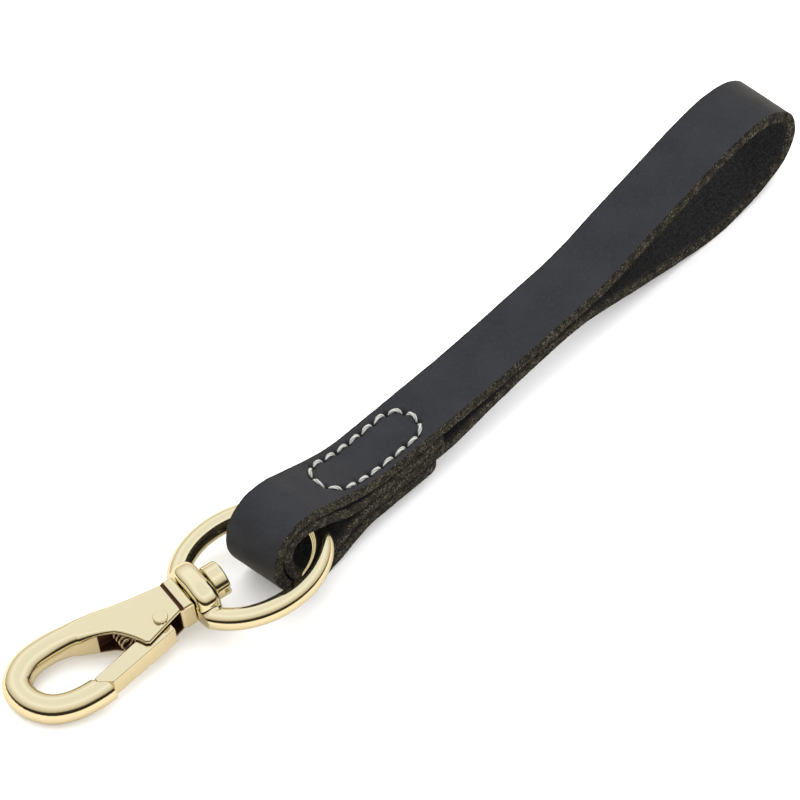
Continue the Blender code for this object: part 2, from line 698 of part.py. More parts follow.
def build_hook(root):
    gold = material("polished_light_gold", (0.86, 0.70, 0.42), 0.12, 1.0)
    steel = material("spring_steel", (0.55, 0.52, 0.48), 0.3, 1.0)
    pivot = add_empty("rock_axis", (ROCK_AXIS_X, 0, ROCK_AXIS_Z), parent=root)
    centre = (BOW_CENTRE[0] - ROCK_AXIS_X, BOW_CENTRE[1], BOW_CENTRE[2] - ROCK_AXIS_Z)
    frame = add_empty("hook_frame", centre, (0, HOOK_DIP, HOOK_YAW), pivot)
    build_bow(frame, gold)
    build_pin(frame, gold)
    build_body(frame, gold)
    build_gate(frame, gold)
    build_rivet(frame, gold)
    build_spring(frame, steel)


clear_scene()
assembly = add_empty("assembly", (0, 0, 0))
build_strap(assembly)
build_hook(assembly)
rest_on_table(assembly)
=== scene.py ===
"""Looks of the wrist strap with a swivel snap hook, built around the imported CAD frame.

Lengths are in metres. The strap is drawn in its own frame (x along the strap, z up from the flat
underside of the stitched stack) and the hook in the hook frame (x along the swivel towards the
crook, z up), and both frames are placed from the CAD model's joints.
"""
import json
import math

import bmesh
import bpy
import numpy as np
from mathutils import Matrix, Vector, noise


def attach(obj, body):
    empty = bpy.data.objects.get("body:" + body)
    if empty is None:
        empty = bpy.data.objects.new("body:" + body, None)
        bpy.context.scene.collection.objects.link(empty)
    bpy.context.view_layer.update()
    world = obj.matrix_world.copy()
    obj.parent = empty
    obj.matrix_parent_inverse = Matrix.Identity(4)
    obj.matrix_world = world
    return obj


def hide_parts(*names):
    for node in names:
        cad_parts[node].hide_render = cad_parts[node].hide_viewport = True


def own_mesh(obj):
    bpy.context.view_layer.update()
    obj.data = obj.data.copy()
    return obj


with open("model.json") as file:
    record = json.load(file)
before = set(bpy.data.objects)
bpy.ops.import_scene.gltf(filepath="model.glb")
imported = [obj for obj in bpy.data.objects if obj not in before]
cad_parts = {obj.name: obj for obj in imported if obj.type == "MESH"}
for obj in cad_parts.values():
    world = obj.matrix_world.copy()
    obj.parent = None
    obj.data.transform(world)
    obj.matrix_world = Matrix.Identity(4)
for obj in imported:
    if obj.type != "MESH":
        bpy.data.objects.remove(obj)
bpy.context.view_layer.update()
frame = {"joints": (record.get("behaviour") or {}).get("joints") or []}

MM = 0.001


def in_mm(*points):
    """Points in a plane, written in millimetres."""
    return [(x * MM, y * MM) for x, y in points]


# ---------------------------------------------------------------- driving dimensions

STRAP_WIDTH = 15.0 * MM
LEATHER = 2.8 * MM                      # its thickness
LAYER_PITCH = 3.2 * MM                  # height from one layer of the stack to the next
STACK_PITCH_ANGLE = math.radians(2.6)   # how far the stack leans
STACK_BACK = 17.0 * MM                  # the flap under the stack ends here
INNER_END = 16.5 * MM                   # and the strip's other end, inside the stack, here
STACK_FRONT_LOW = -6.0 * MM             # the fold leaves the straight underside here
STACK_FRONT_HIGH = 0.0                  # and joins the straight top here
TOP_STRAIGHT_END = 29.0 * MM            # the wrist loop starts here
FLAP_CORNER = 5.0 * MM                  # radius of the flap's rounded corners
NEST_SLACK = 1.0 * MM                   # extra gap between the two wraps round the ring
NEST_SLACK_X = -12.5 * MM               # largest here
NEST_SLACK_LENGTH = 5.0 * MM
EDGE_ROUNDING = 0.35 * MM
EDGE_CURVE_START = 0.72                 # the edge is rounded from this share of the half thickness
EDGE_WANDER = 0.07 * MM                 # the cut edges wander slowly by this much
EDGE_FRAY = 0.04 * MM                   # and quickly by this much
FACE_SWELL = 0.05 * MM
FINE_STEP = 0.28 * MM                   # between points along the strap under the stitches
COARSE_STEP = 0.9 * MM                  # and elsewhere
FINE_MARGIN = 1.5 * MM                  # the fine steps start this far before the stitches

STITCH_CENTRE_X = -1.2 * MM
STITCH_LENGTH = 31.0 * MM
STITCH_WIDTH = 9.8 * MM
STITCH_COUNT = 18
STITCH_START = 0.5                      # place of the first hole, counted in stitches
STITCH_BOW = 0.16 * MM                  # how far the middle of a stitch bows outward
THREAD_RADIUS = 0.38 * MM
THREAD_TWIST = 1.9 * MM                 # length of one turn of the plies
THREAD_LOBE = 0.13                      # how far the plies bulge, as a share of the radius
THREAD_LIFT = 0.20 * MM                 # the middle of the thread lies this high on the leather
THREAD_DIVE = 2.4 * MM                  # and this deep in a hole
THREAD_DIVE_REACH = 0.80 * MM
HOLE_REACH = 0.66 * MM
HOLE_DEPTH = 1.1 * MM
SEAM_DENT = 0.10 * MM                   # the whole row of stitches is pressed in by this much
SEAM_DENT_REACH = 0.9 * MM
SEAM_MARGIN = 2.0 * MM                  # no dent further than this past the ends of the row

ROCK_X = -21.0 * MM                     # the rocking axis, seen from the strap's origin
ROCK_Z = 7.1 * MM
SWIVEL_X = 13.8 * MM                    # the swivel joint's point, along the hook's x axis

HOOK_YAW = math.radians(164.5)          # the hook's heading, counted from the strap's
HOOK_DIP = math.radians(7.0)            # and how far it slopes down to the table
BOW_HALF_LENGTH = 16.9 * MM
BOW_HALF_WIDTH = 14.3 * MM
BOW_WIRE = 2.55 * MM
BOW_ROLL = math.radians(4.0)
PIN_RISE = 1.5 * MM                     # height of the swivel axis over the ring's plane
BARREL_FRONT = 11.0 * MM
BARREL_BACK = 16.6 * MM
BARREL_HALF_WIDTH = 7.4 * MM
BARREL_HALF_HEIGHT = 5.0 * MM
BARREL_SQUARENESS = 3.0                 # 2 would be an ellipse
BARREL_ROUNDING = 2.1 * MM
BARREL_BLEND = 0.9 * MM                 # radius of the soft joint between wire and barrel
FIT_GAP = 0.3 * MM
CUT_EASE = 0.2 * MM                     # how far the edges of a cut are softened
CRISP_EASE = 0.15 * MM                  # the same, for the groove and the nose
SLOT_EASE = 0.25 * MM                   # and for the slot
PIN_RADIUS = 2.2 * MM
PIN_FIT = 0.2 * MM                      # gap round the pin in the collar
PIN_HEAD_RADIUS = 4.1 * MM
PIN_HEAD_FRONT = 7.0 * MM
PIN_HEAD_ROUNDING = 0.45 * MM
PIN_HEAD_ROOM = 5.0 * MM                # length kept free in front of the pin's head
PIN_SLOT_WIDTH = 1.4 * MM
PIN_SLOT_DEPTH = 1.7 * MM
PIN_END = 20.2 * MM

BODY_THICKNESS = 8.0 * MM
BODY_ROUNDING = 1.1 * MM
COLLAR_FRONT = 16.9 * MM
COLLAR_HALF_WIDTH = 4.7 * MM
GROOVE_FRONT = 19.6 * MM
GROOVE_WIDTH = 0.7 * MM
GROOVE_DEPTH = 0.7 * MM
CROOK_POINTS = in_mm(
    (35.5, -3.9), (39.0, -5.1), (43.5, -6.6), (49.5, -7.45), (55.5, -6.3), (59.2, -2.9),
    (59.4, 2.0), (56.6, 6.7), (51.5, 9.1), (47.5, 9.5), (43.4, 9.3))
CROOK_START_WAY = (0.95, -0.31)
CROOK_END_WAY = (-0.98, -0.17)
CROOK_HALF_WIDTH = 3.4 * MM
CROOK_HALF_HEIGHT = 3.2 * MM
SPINE_NARROWING = 0.5 * MM              # near the cheeks the spine is this much slimmer each side
SPINE_BLEND = 1.5 * MM                  # radius of the soft joint between cheeks and spine
CROOK_ROUND_X = 50.0 * MM               # from here on the spine's section is a plain oval
CROOK_FADE = 2.0 * MM                   # width over which cheek and nose are told apart
NOSE_FACING = (-0.98, -0.20)            # the nose is cut off square to this direction
NOSE_LOW = 3.5 * MM                     # the cut applies only above this
NOSE_LENGTH = 5.0 * MM                  # and up to this far past the end of the crook
LAP_FRONT = 38.0 * MM                   # room for the gate at the nose starts here
LAP_LOW = 5.0 * MM
SWING_LOW = 4.0 * MM                    # and its tip swings in between these two heights
SWING_HIGH = 7.8 * MM
SLOT_THICKNESS = 5.8 * MM
SLOT_FRONT = 20.6 * MM
SLOT_BACK = 38.5 * MM
SLOT_FLOOR = -3.0 * MM
PIN_BORE_END = SLOT_FRONT + 1.0 * MM    # the pin's bore opens into the slot

GATE_THICKNESS = 5.2 * MM
GATE_ROUNDING = 0.4 * MM
RIVET_PLACE = (25.1 * MM, 3.8 * MM)
RIVET_RADIUS = 1.2 * MM
RIVET_HEAD_RADIUS = 1.75 * MM
RIVET_HEAD_HEIGHT = 0.7 * MM
RIVET_HEAD_GAP = 0.15 * MM
RIVET_HEAD_ROUNDING = 0.33 * MM
RIVET_OVERLAP = 0.3 * MM                # how far the shaft reaches into each head
SPRING_X = 33.2 * MM
SPRING_RADIUS = 1.6 * MM
SPRING_WIRE = 0.28 * MM
SPRING_TURNS = 5
SPRING_START = SLOT_FLOOR + FIT_GAP + SPRING_WIRE
SPRING_END = 3.2 * MM

SLOT_SHADE_MARGIN = 0.05 * MM               # the painted shade on the slot's walls reaches this far past them
SLOT_SHADE_FADE = 0.25 * MM                 # and fades over this distance

METAL_CELL = 0.25 * MM                  # size of the grid that the metal is skinned on
SMALL_CELL = 0.20 * MM                  # for the pin and the gate
RIVET_CELL = 0.125 * MM

VIEW_AZIMUTH = math.radians(-46.1)
VIEW_ELEVATION = math.radians(49.4)
VIEW_ROLL = math.radians(-2.66)
VIEW_OFFSET = (17.74 * MM, 6.27 * MM, 9.64 * MM)   # from the strap's origin to the point looked at
VIEW_WIDTH = 176.5 * MM
LENS = 1650.0                           # so long that the view is all but parallel
SENSOR = 36.0


# ---------------------------------------------------------------- frames of strap and hook

def joint(name):
    return next(item for item in frame["joints"] if item["name"] == name)


def strap_frame():
    """The strap leans by its pitch angle; its own origin follows from the rocking axis."""
    tilt = Matrix.Rotation(STACK_PITCH_ANGLE, 4, "Y")
    rock = Vector(joint("bow_rock")["pos_m"])
    return Matrix.Translation(rock - Vector((ROCK_X, 0, ROCK_Z))) @ tilt


def hook_frame():
    """The swivel joint's point lies SWIVEL_X along the hook and PIN_RISE above the ring's plane."""
    turn = Matrix.Rotation(HOOK_YAW, 4, "Z") @ Matrix.Rotation(HOOK_DIP, 4, "Y")
    swivel = Vector(joint("hook_swivel")["pos_m"])
    return Matrix.Translation(swivel) @ turn @ Matrix.Translation((-SWIVEL_X, 0, -PIN_RISE))


STRAP_FRAME = strap_frame()
HOOK_FRAME = hook_frame()


def add_piece(name, mesh, placement, body, nodes, finish):
    """Link a finished mesh, hang it on its CAD body and let it stand for the CAD nodes."""
    mesh.transform(placement)
    mesh.materials.append(finish)
    piece = bpy.data.objects.new(name, mesh)
    bpy.context.scene.collection.objects.link(piece)
    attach(piece, body)
    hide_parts(*nodes)
    return piece


def mesh_from_grid(name, rings, closed):
    """Skin a row of equal rings, given as an array (ring, point, 3)."""
    count, sides = rings.shape[:2]
    ring = np.arange(count if closed else count - 1)[:, None]
    side = np.arange(sides)[None, :]
    following = (ring + 1) % count
    beside = (side + 1) % sides
    quads = np.stack([ring * sides + side, ring * sides + beside,
                      following * sides + beside, following * sides + side], axis=-1)
    faces = quads.reshape(-1, 4).tolist()
    if not closed:
        faces.append(list(range(sides))[::-1])
        faces.append(list(range((count - 1) * sides, count * sides)))
    mesh = bpy.data.meshes.new(name)
    mesh.from_pydata(rings.reshape(-1, 3).tolist(), [], faces)
    face_outward(mesh)
    mesh.shade_smooth()
    return mesh


def face_outward(mesh):
    shape = bmesh.new()
    shape.from_mesh(mesh)
    bmesh.ops.recalc_face_normals(shape, faces=shape.faces)
    shape.to_mesh(mesh)
    shape.free()


def add_values(mesh, name, values):
    """A value for each vertex, which the materials read by name."""
    attribute = mesh.attributes.new(name, "FLOAT", "POINT")
    attribute.data.foreach_set("value", np.asarray(values, np.float32).ravel())


# ---------------------------------------------------------------- curves in a plane

def smooth_path(points, start_way, end_way, step):
    """A cubic curve through the points, with set directions at both ends."""
    points = np.array(points, float)
    gaps = np.linalg.norm(np.diff(points, axis=0), axis=1)
    slopes = np.diff(points, axis=0) / gaps[:, None]
    ways = np.empty_like(points)
    ways[0] = start_way
    ways[-1] = end_way
    weight = (gaps[1:] / (gaps[:-1] + gaps[1:]))[:, None]
    ways[1:-1] = slopes[:-1] * weight + slopes[1:] * (1 - weight)
    path = []
    for i, gap in enumerate(gaps):
        count = max(2, math.ceil(gap / step))
        for k in range(count):
            u = k / count
            path.append((2 * u**3 - 3 * u**2 + 1) * points[i]
                        + (u**3 - 2 * u**2 + u) * gap * ways[i]
                        + (3 * u**2 - 2 * u**3) * points[i + 1]
                        + (u**3 - u**2) * gap * ways[i + 1])
    path.append(points[-1])
    return np.array(path)


def path_normals(path):
    """Unit normals to the right of travel, in the plane of the path."""
    along = np.gradient(path, axis=0)
    along /= np.linalg.norm(along, axis=1)[:, None]
    return np.stack([along[:, 1], -along[:, 0]], axis=1)


def lengths_along(path):
    """Length of the path up to each of its points."""
    return np.concatenate([[0.0], np.cumsum(np.linalg.norm(np.diff(path, axis=0), axis=1))])


def bell(distance, reach):
    """1 at no distance, falling smoothly to nothing a few reaches away."""
    return np.exp(-((distance / reach) ** 2))


def ease(share):
    """From 0 to 1 with no kink at either end."""
    share = np.clip(share, 0, 1)
    return share * share * (3 - 2 * share)


# ---------------------------------------------------------------- leather strap

def wrap_path():
    """Middle of the outer wrap, from the flap round the front of the fold to the top layer."""
    low = LEATHER / 2
    high = low + 3 * LAYER_PITCH
    fold = in_mm((-12.0, 0.1), (-18.0, -2.2), (-24.5, -3.5), (-31.0, -1.7), (-35.4, 3.2),
                 (-37.6, 9.5), (-36.4, 14.6), (-32.6, 17.6), (-27.5, 17.8), (-21.0, 15.9),
                 (-13.5, 13.4), (-6.0, 11.5))
    points = [(STACK_FRONT_LOW, low), *fold, (STACK_FRONT_HIGH, high)]
    return smooth_path(points, (-1, 0), (1, 0), FINE_STEP)


def loop_path():
    """Middle of the wrist loop, out along the top and back along the underside."""
    high = LEATHER / 2 + 3 * LAYER_PITCH
    low = LEATHER / 2 + LAYER_PITCH
    out = in_mm((40.0, 11.5), (54.0, 12.5), (70.0, 13.9), (84.0, 17.6), (98.0, 21.1),
                (110.0, 24.1), (119.5, 25.2), (127.0, 23.6), (131.2, 19.8))
    back = in_mm((132.2, 14.4), (129.4, 9.2), (123.5, 5.8), (116.0, 3.5), (107.0, 2.4),
                 (96.0, 3.6), (80.0, 6.4), (62.0, 9.4), (47.0, 8.6), (32.0, 6.7))
    points = [(TOP_STRAIGHT_END, high), *out, *back, (STACK_BACK, low)]
    return smooth_path(points, (1, 0), (-1, 0), FINE_STEP)


def inner_wrap_path(outer):
    """The second wrap lies inside the first, with some slack just behind the bow."""
    slack = NEST_SLACK * bell(outer[:, 0] - NEST_SLACK_X, NEST_SLACK_LENGTH)
    return outer + path_normals(outer) * (LAYER_PITCH + slack)[:, None]


def straight(start, end):
    """Evenly spaced points from start up to, but not including, end."""
    start = np.array(start)
    end = np.array(end)
    count = max(1, math.ceil(np.linalg.norm(end - start) / FINE_STEP))
    return start + (end - start) * (np.arange(count) / count)[:, None]


def strap_path():
    """Middle of the whole strip, from the end of the flap to the end of the second layer."""
    outer = wrap_path()
    low = LEATHER / 2
    high = low + 3 * LAYER_PITCH
    flap = straight((STACK_BACK, low), outer[0])
    top = straight(outer[-1], (TOP_STRAIGHT_END, high))
    loop = loop_path()
    inner = inner_wrap_path(outer)
    into = straight(loop[-1], inner[0])
    tail = straight(inner[-1], (INNER_END, inner[-1][1]))
    return np.vstack([flap, outer[:-1], top, loop[:-1], into, inner[:-1], tail,
                      [(INNER_END, inner[-1][1])]])


def thin_out(path):
    """Keep the fine steps only under the stitches and along the rounded end of the flap."""
    lengths = lengths_along(path)
    on_outside = lengths < lengths[-1] * 0.5
    near = np.abs(path[:, 0] - STITCH_CENTRE_X) < STITCH_LENGTH / 2 + FINE_MARGIN
    rounded_end = lengths < FLAP_CORNER
    fine = (on_outside & near) | rounded_end
    kept = [0]
    for i in range(1, len(path) - 1):
        wanted = FINE_STEP * 0.9 if fine[i] else COARSE_STEP
        if lengths[i] - lengths[kept[-1]] >= wanted:
            kept.append(i)
    kept.append(len(path) - 1)
    return np.array(kept)


def strap_half_width(length):
    """Half the width of the strip near the rounded end of the flap."""
    inside = np.clip(FLAP_CORNER - length, 0, FLAP_CORNER)
    return STRAP_WIDTH / 2 - FLAP_CORNER + np.sqrt(FLAP_CORNER**2 - inside**2)


def strap_section():
    """Points round the strip: (across, through, raw edge share), across and through from -1 to 1.

    The outer face comes first, then one edge, the inner face and the other edge.
    """
    face = 52
    back = 22
    edge = 7
    outer = [(t, 1.0, 0.0) for t in np.linspace(-1, 1, face + 1)[1:-1]]
    inner = [(t, -1.0, 0.0) for t in np.linspace(1, -1, back + 1)[1:-1]]
    right = [(1.0, t, 1.0) for t in np.linspace(1, -1, edge + 2)]
    left = [(-1.0, t, 1.0) for t in np.linspace(-1, 1, edge + 2)]
    return np.array(outer + right + inner + left)


def strap_points():
    """The strip's points (ring, place round the strip, 3) and what belongs to rings and places."""
    path = strap_path()
    normals = path_normals(path)
    lengths = lengths_along(path)
    kept = thin_out(path)
    path, normals, lengths = path[kept], normals[kept], lengths[kept]
    across, through, raw = strap_section().T
    half = strap_half_width(lengths)[:, None]
    flat = np.maximum(half - EDGE_ROUNDING, 0.2 * MM)
    y = np.where(raw > 0.5, np.sign(across) * half, across * flat)
    corner = (np.abs(through) - EDGE_CURVE_START) / (1 - EDGE_CURVE_START)
    y = y - np.sign(across) * (raw > 0.5) * np.maximum(corner, 0) ** 2 * EDGE_ROUNDING
    depth = -through[None, :] * LEATHER / 2
    points = np.empty(y.shape + (3,))
    points[..., 0] = path[:, None, 0] + normals[:, None, 0] * depth
    points[..., 1] = y
    points[..., 2] = path[:, None, 1] + normals[:, None, 1] * depth
    return points, normals, lengths, raw, through


def stadium_point(distance):
    """Point (x, y) at a distance along the stitched stadium, from the middle of its front end."""
    radius = STITCH_WIDTH / 2
    side = STITCH_LENGTH - STITCH_WIDTH
    arc = math.pi * radius
    perimeter = 2 * side + 2 * arc
    along = distance % perimeter
    if along >= perimeter - arc / 2:
        along -= perimeter
    if along < arc / 2:
        turn = along / radius
        return (STITCH_CENTRE_X - side / 2 - radius * math.cos(turn), -radius * math.sin(turn))
    if along < arc / 2 + side:
        return (STITCH_CENTRE_X - side / 2 + along - arc / 2, -radius)
    if along < 1.5 * arc + side:
        turn = (along - arc / 2 - side) / radius
        return (STITCH_CENTRE_X + side / 2 + radius * math.sin(turn), -radius * math.cos(turn))
    return (STITCH_CENTRE_X + side / 2 - (along - 1.5 * arc - side), radius)


def stitch_pitch():
    """Distance from hole to hole along the stadium."""
    side = STITCH_LENGTH - STITCH_WIDTH
    return (2 * side + math.pi * STITCH_WIDTH) / STITCH_COUNT


def stitch_holes():
    pitch = stitch_pitch()
    return np.array([stadium_point((i + STITCH_START) * pitch) for i in range(STITCH_COUNT)])


def distance_to_stadium(x, y):
    """Distance from the line of stitches."""
    side = STITCH_LENGTH - STITCH_WIDTH
    beyond = np.maximum(np.abs(x - STITCH_CENTRE_X) - side / 2, 0)
    return np.abs(np.hypot(beyond, y) - STITCH_WIDTH / 2)


def pressed_in(x, y):
    """How much each point lies in a stitch hole, and how deep the whole seam is pressed in."""
    in_hole = np.zeros_like(x)
    for hole_x, hole_y in stitch_holes():
        in_hole = np.maximum(in_hole, bell(np.hypot(x - hole_x, y - hole_y), HOLE_REACH))
    near_seam = np.abs(x - STITCH_CENTRE_X) < STITCH_LENGTH / 2 + SEAM_MARGIN
    dent = SEAM_DENT * bell(distance_to_stadium(x, y), SEAM_DENT_REACH)
    return in_hole * near_seam, dent * near_seam


def add_unevenness(points, raw, normals):
    """Cut leather is never quite even: the raw edges wander and the faces swell a little.

    The factors on the place set how many ripples there are in a millimetre.
    """
    for i, ring in enumerate(points):
        for k, point in enumerate(ring):
            place = Vector(point) / MM
            if raw[k] > 0.5:
                wander = EDGE_WANDER * noise.noise(place * 0.9)
                point[1] += wander + EDGE_FRAY * noise.noise(place * 3.1)
            else:
                swell = FACE_SWELL * noise.noise(place * 0.25)
                point[0] += normals[i, 0] * swell
                point[2] += normals[i, 1] * swell


def build_strap(leather):
    points, normals, lengths, raw, through = strap_points()
    on_outside = (lengths < lengths[-1] * 0.5)[:, None] & (through > 0.5)[None, :]
    in_hole, dent = pressed_in(points[..., 0], points[..., 1])
    in_hole = in_hole * on_outside
    push = in_hole * HOLE_DEPTH + dent * on_outside
    points[..., 0] += normals[:, None, 0] * push
    points[..., 2] += normals[:, None, 1] * push
    add_unevenness(points, raw, normals)
    mesh = mesh_from_grid("strap_leather", points, closed=False)
    count = len(lengths)
    add_values(mesh, "raw_edge", np.tile(raw, count))
    add_values(mesh, "flesh", np.tile((through < -0.5) & (raw < 0.5), count))
    # painted shade: the stitch holes are coloured near black
    add_values(mesh, "stitch_hole_shade", in_hole)
    add_piece("strap_leather", mesh, STRAP_FRAME, "strap", ["strap"], leather)


# ---------------------------------------------------------------- stitching

def stack_surface(upper):
    """Heights of the stack's top or underside, as a function of x."""
    outer = wrap_path()
    surface = outer - path_normals(outer) * LEATHER / 2
    front = int(np.argmin(surface[:, 0]))
    if upper:
        half = np.vstack([surface[front:], [(STACK_BACK, LEATHER + 3 * LAYER_PITCH)]])
    else:
        half = np.vstack([surface[front::-1], [(STACK_BACK, 0.0)]])
    return lambda x: float(np.interp(x, half[:, 0], half[:, 1]))


def thread_path(upper):
    """Each stitch rises from one hole, bows a little outward and dives into the next."""
    surface = stack_surface(upper)
    side = 1 if upper else -1
    pitch = stitch_pitch()
    steps = 20
    path = []
    for stitch in range(STITCH_COUNT):
        for step in range(steps):
            share = step / steps
            distance = (stitch + STITCH_START + share) * pitch
            x, y = stadium_point(distance)
            near_x, near_y = stadium_point(distance + 0.01 * MM)
            way = Vector((near_x - x, near_y - y)).normalized()
            bow = STITCH_BOW * math.sin(math.pi * share)
            x, y = x + way.y * bow, y - way.x * bow
            to_hole = min(share, 1 - share) * pitch
            lift = THREAD_LIFT - (THREAD_LIFT + THREAD_DIVE) * bell(to_hole, THREAD_DIVE_REACH)
            path.append((x, y, surface(x) + side * lift))
    return np.array(path)


def spokes(turn, out, side):
    """Unit vectors at each turn round each point of a path, in the plane of out and side."""
    return np.cos(turn)[None, :, None] * out[:, None] + np.sin(turn)[None, :, None] * side[:, None]


def twisted_tube(name, path, radius, twist_length):
    """A closed cord of three plies along a path."""
    sides = 15
    along = np.roll(path, -1, axis=0) - np.roll(path, 1, axis=0)
    along /= np.linalg.norm(along, axis=1)[:, None]
    across = np.cross(along, (0.0, 0.0, 1.0))
    across /= np.linalg.norm(across, axis=1)[:, None]
    upward = np.cross(across, along)
    lengths = lengths_along(np.vstack([path, path[:1]]))
    turns = round(lengths[-1] / twist_length)
    phase = lengths[:-1] / lengths[-1] * turns * 2 * math.pi
    turn = 2 * math.pi * np.arange(sides) / sides
    bulge = np.cos(3 * turn[None, :] + phase[:, None])
    reach = radius * (1 + THREAD_LOBE * bulge[..., None])
    mesh = mesh_from_grid(name, path[:, None] + reach * spokes(turn, across, upward), closed=True)
    # painted shade: how deep each point lies in a valley between the plies
    add_values(mesh, "valley_shade", np.clip(-bulge, 0, 1))
    return mesh


def build_threads(thread):
    for piece, node, upper in (("top_stitching", "top_thread", True),
                               ("bottom_stitching", "bobbin_thread", False)):
        mesh = twisted_tube(piece, thread_path(upper), THREAD_RADIUS, THREAD_TWIST)
        add_piece(piece, mesh, STRAP_FRAME, "strap", [node], thread)


# ---------------------------------------------------------------- solids from distance functions

def distance_to_path(x, y, path):
    """Distance in the plane to a path of straight pieces."""
    nearest = np.full(x.shape, np.inf)
    for (ax, ay), (bx, by) in zip(path, path[1:]):
        ex, ey = bx - ax, by - ay
        wx, wy = x - ax, y - ay
        share = np.clip((wx * ex + wy * ey) / (ex * ex + ey * ey), 0, 1)
        nearest = np.minimum(nearest, (wx - ex * share) ** 2 + (wy - ey * share) ** 2)
    return np.sqrt(nearest)


def polygon_distance(x, y, outline):
    """Signed distance in the plane to a polygon, negative inside."""
    closed = outline + outline[:1]
    inside = np.zeros(x.shape, bool)
    for (ax, ay), (bx, by) in zip(closed, closed[1:]):
        if ay != by:
            inside ^= ((ay > y) != (by > y)) & (x < ax + (y - ay) * (bx - ax) / (by - ay))
    return np.where(inside, -1, 1) * distance_to_path(x, y, closed)


def prism(flat, z, half, rounding):
    """A plate of half thickness half, from the signed distance to its outline."""
    u = flat + rounding
    w = np.abs(z) - half + rounding
    return np.minimum(np.maximum(u, w), 0) + np.hypot(np.maximum(u, 0), np.maximum(w, 0)) - rounding


def drum(x, y, z, start, end, radius, rounding):
    """A cylinder along x with rounded ends."""
    middle = (start + end) / 2
    return prism(np.hypot(y, z) - radius, x - middle, (end - start) / 2, rounding)


def upright_drum(x, y, z, low, high, radius, rounding):
    """A cylinder along z with rounded ends."""
    middle = (low + high) / 2
    return prism(np.hypot(x, y) - radius, z - middle, (high - low) / 2, rounding)


def soft_union(a, b, blend):
    """Both solids, with the corner between them filled where they differ by less than blend."""
    overlap = np.maximum(blend - np.abs(a - b), 0) / blend
    return np.minimum(a, b) - overlap**2 * blend / 4


def soft_cut(a, b, blend):
    """The solid a without b, with the new edge eased by blend."""
    return -soft_union(-a, b, blend)


def solid_mesh(name, distance, low, high, cell):
    """Skin the surface where distance(x, y, z) is zero, with one vertex in each crossed cell."""
    axes = [np.arange(low[i] - 4 * cell, high[i] + 5 * cell, cell) for i in range(3)]
    field = distance(*np.meshgrid(*axes, indexing="ij"))
    inside = field < 0
    corners = [(i, j, k) for i in (0, 1) for j in (0, 1) for k in (0, 1)]
    size = [n - 1 for n in field.shape]

    def at(values, corner):
        return values[tuple(slice(c, c + n) for c, n in zip(corner, size))]

    filled = sum(at(inside, corner).astype(int) for corner in corners)
    crossed = (filled > 0) & (filled < 8)
    index = np.full(crossed.shape, -1)
    index[crossed] = np.arange(crossed.sum())
    total = np.zeros((crossed.sum(), 3))
    hits = np.zeros(crossed.sum())
    for start in corners:
        for axis in range(3):
            if start[axis]:
                continue
            end = tuple(1 if i == axis else c for i, c in enumerate(start))
            a, b = at(field, start)[crossed], at(field, end)[crossed]
            cut = (a < 0) != (b < 0)
            share = np.where(cut, a / np.where(cut, a - b, 1), 0)
            spot = np.tile(np.array(start, float), (len(a), 1))
            spot[:, axis] += share
            total += spot * cut[:, None]
            hits += cut
    places = np.argwhere(crossed) + total / hits[:, None]
    points = places * cell + np.array([axis[0] for axis in axes])
    points, normals = settle_on_surface(points, distance, cell)
    mesh = bpy.data.meshes.new(name)
    mesh.from_pydata(points.tolist(), [], crossing_quads(inside, index))
    mesh.shade_smooth()
    mesh.normals_split_custom_set_from_vertices(normals.tolist())
    return mesh


def crossing_quads(inside, index):
    """One quad for each grid edge that crosses the surface, wound to face outward."""
    quads = []
    for axis in range(3):
        u, v = (axis + 1) % 3, (axis + 2) % 3
        before = np.take(inside, range(inside.shape[axis] - 1), axis)
        after = np.take(inside, range(1, inside.shape[axis]), axis)
        leaving = np.argwhere(before & ~after)
        entering = np.argwhere(~before & after)
        for places, flip in ((leaving, False), (entering, True)):
            ring = []
            for du, dv in ((-1, -1), (0, -1), (0, 0), (-1, 0)):
                cell = places.copy()
                cell[:, u] += du
                cell[:, v] += dv
                ring.append(index[tuple(cell.T)])
            quad = np.stack(ring, axis=1)
            quads += (quad[:, ::-1] if flip else quad).tolist()
    return quads


def slope(distance, points):
    """Central differences of the distance function."""
    reach = 0.02 * MM
    result = np.empty_like(points)
    for axis in range(3):
        step = np.zeros(3)
        step[axis] = reach
        ahead = distance(*(points + step).T)
        behind = distance(*(points - step).T)
        result[:, axis] = (ahead - behind) / (2 * reach)
    return result


def settle_on_surface(points, distance, cell):
    """Move the points onto the surface in three small steps; give them and their normals back."""
    for _ in range(3):
        gradient = slope(distance, points)
        steep = np.maximum((gradient**2).sum(axis=1), 0.05)
        move = (distance(*points.T) / steep)[:, None] * gradient
        length = np.maximum(np.linalg.norm(move, axis=1), 1e-12)
        points = points - move * np.minimum(1, 0.4 * cell / length)[:, None]
    gradient = slope(distance, points)
    return points, gradient / np.maximum(np.linalg.norm(gradient, axis=1), 1e-12)[:, None]


# ---------------------------------------------------------------- bow with its barrel

def oval_wire(x, y, z):
    """Round wire along an oval ring in the plane z = 0."""
    stretch = BOW_HALF_LENGTH / BOW_HALF_WIDTH
    turn = np.arctan2(y * stretch, x)
    for _ in range(4):
        gap_x = x - BOW_HALF_LENGTH * np.cos(turn)
        gap_y = y - BOW_HALF_WIDTH * np.sin(turn)
        way_x = -BOW_HALF_LENGTH * np.sin(turn)
        way_y = BOW_HALF_WIDTH * np.cos(turn)
        turn = turn + np.clip((gap_x * way_x + gap_y * way_y) / (way_x**2 + way_y**2), -0.3, 0.3)
    sideways = np.hypot(x - BOW_HALF_LENGTH * np.cos(turn), y - BOW_HALF_WIDTH * np.sin(turn))
    return np.hypot(sideways, z) - BOW_WIRE


